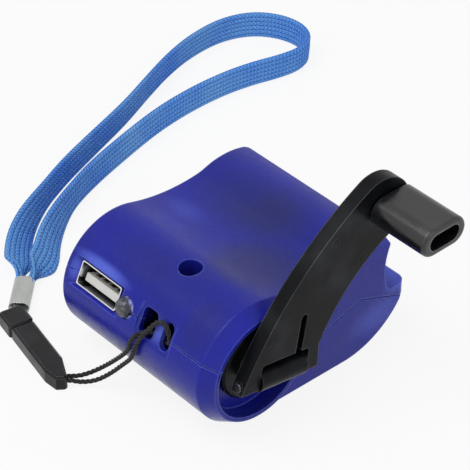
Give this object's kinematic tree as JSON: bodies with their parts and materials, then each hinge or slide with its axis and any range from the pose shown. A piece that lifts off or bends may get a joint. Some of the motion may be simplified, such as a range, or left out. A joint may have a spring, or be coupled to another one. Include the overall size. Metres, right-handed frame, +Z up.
{
  "type": "hand crank phone charger",
  "caption": "Palm-sized phone charger with a drum-shaped nose, a folding crank that drives a gear train and dynamo, a power socket, a lamp and a wrist strap.",
  "frame": {"origin": "centre of the flat base's bounding rectangle, on the table that the charger rests on", "axes": "+Z up; the socket nose points to -X; the crank is on the -Y side and its axis lies along Y"},
  "size_m": [0.1324, 0.1362, 0.0517],
  "materials": {
    "blue_plastic": "glossy, slightly translucent",
    "black_plastic": "fine satin grain",
    "steel": "bright",
    "white_gear_plastic": "satin",
    "brass": "machined",
    "plate_metal": "stamped",
    "end_cap_plastic": "satin",
    "core_iron": "laminated",
    "board": "solder resist",
    "white_insert": "satin",
    "contact_metal": "plated",
    "lamp_resin": "clear",
    "tinned_wire": "tinned",
    "capacitor_sleeve": "shrink sleeve",
    "coil_black": "ferrite",
    "chip_black": "moulded",
    "cord_black": "twisted thread",
    "crimp_metal": "polished, plated",
    "strap_blue": "woven tape"
  },
  "bodies": {
    "chassis": {"lower_shell": "blue_plastic", "upper_shell": "blue_plastic", "shell_screw": "steel", "hub_bush": "white_gear_plastic", "idler_axle": "steel", "gear_plate": "plate_metal", "plate_screw_1": "steel", "plate_screw_2": "steel", "dynamo_can": "steel", "dynamo_cap": "end_cap_plastic", "circuit_board": "board", "usb_shell": "steel", "usb_tongue": "white_insert", "usb_contact_1": "contact_metal", "usb_contact_2": "contact_metal", "usb_contact_3": "contact_metal", "usb_contact_4": "contact_metal", "lamp": "lamp_resin", "lamp_lead_1": "tinned_wire", "lamp_lead_2": "tinned_wire", "capacitor": "capacitor_sleeve", "coil": "coil_black", "regulator": "chip_black", "strap_cord": "cord_black", "clip_body": "black_plastic"},
    "crank": {"crank_hub": "black_plastic", "hinge_pin": "steel", "drive_gear": "white_gear_plastic", "hub_screw": "steel"},
    "arm": {"crank_arm": "black_plastic", "knob_stud": "steel"},
    "knob": {"crank_knob": "black_plastic"},
    "idler": {"compound_gear": "white_gear_plastic"},
    "rotor": {"dynamo_shaft": "steel", "dynamo_pinion": "brass", "armature": "core_iron"},
    "strap_end": {"clip_cap": "black_plastic", "strap_ferrule": "crimp_metal", "strap": "strap_blue"}
  },
  "joints": [
    {"name": "crank_spin", "type": "hinge", "parent": "chassis", "child": "crank", "pos_m": [-0.015, 0, 0.015], "axis": [0, 1, 0], "continuous": true},
    {"name": "arm_fold", "type": "hinge", "parent": "crank", "child": "arm", "pos_m": [-0.015, -0.02655, 0.015], "axis": [0.9848, 0, -0.1736], "range_deg": [0, 180]},
    {"name": "knob_spin", "type": "hinge", "parent": "arm", "child": "knob", "pos_m": [0.01666, -0.03, 0.04485], "axis": [0, 1, 0], "continuous": true},
    {"name": "compound_spin", "type": "hinge", "parent": "chassis", "child": "idler", "pos_m": [-0.00066, 0, 0.01257], "axis": [0, 1, 0], "continuous": true},
    {"name": "rotor_spin", "type": "hinge", "parent": "chassis", "child": "rotor", "pos_m": [0.0108, 0, 0.0139], "axis": [0, 1, 0], "continuous": true},
    {"name": "clip_release", "type": "slide", "parent": "chassis", "child": "strap_end", "axis": [0.2034, 0.9791, 0], "range_m": [0, 0.012]}
  ],
  "couplings": [
    {"joint": "compound_spin", "follows": "crank_spin", "ratio": -4.8},
    {"joint": "rotor_spin", "follows": "crank_spin", "ratio": 17.28}
  ]
}
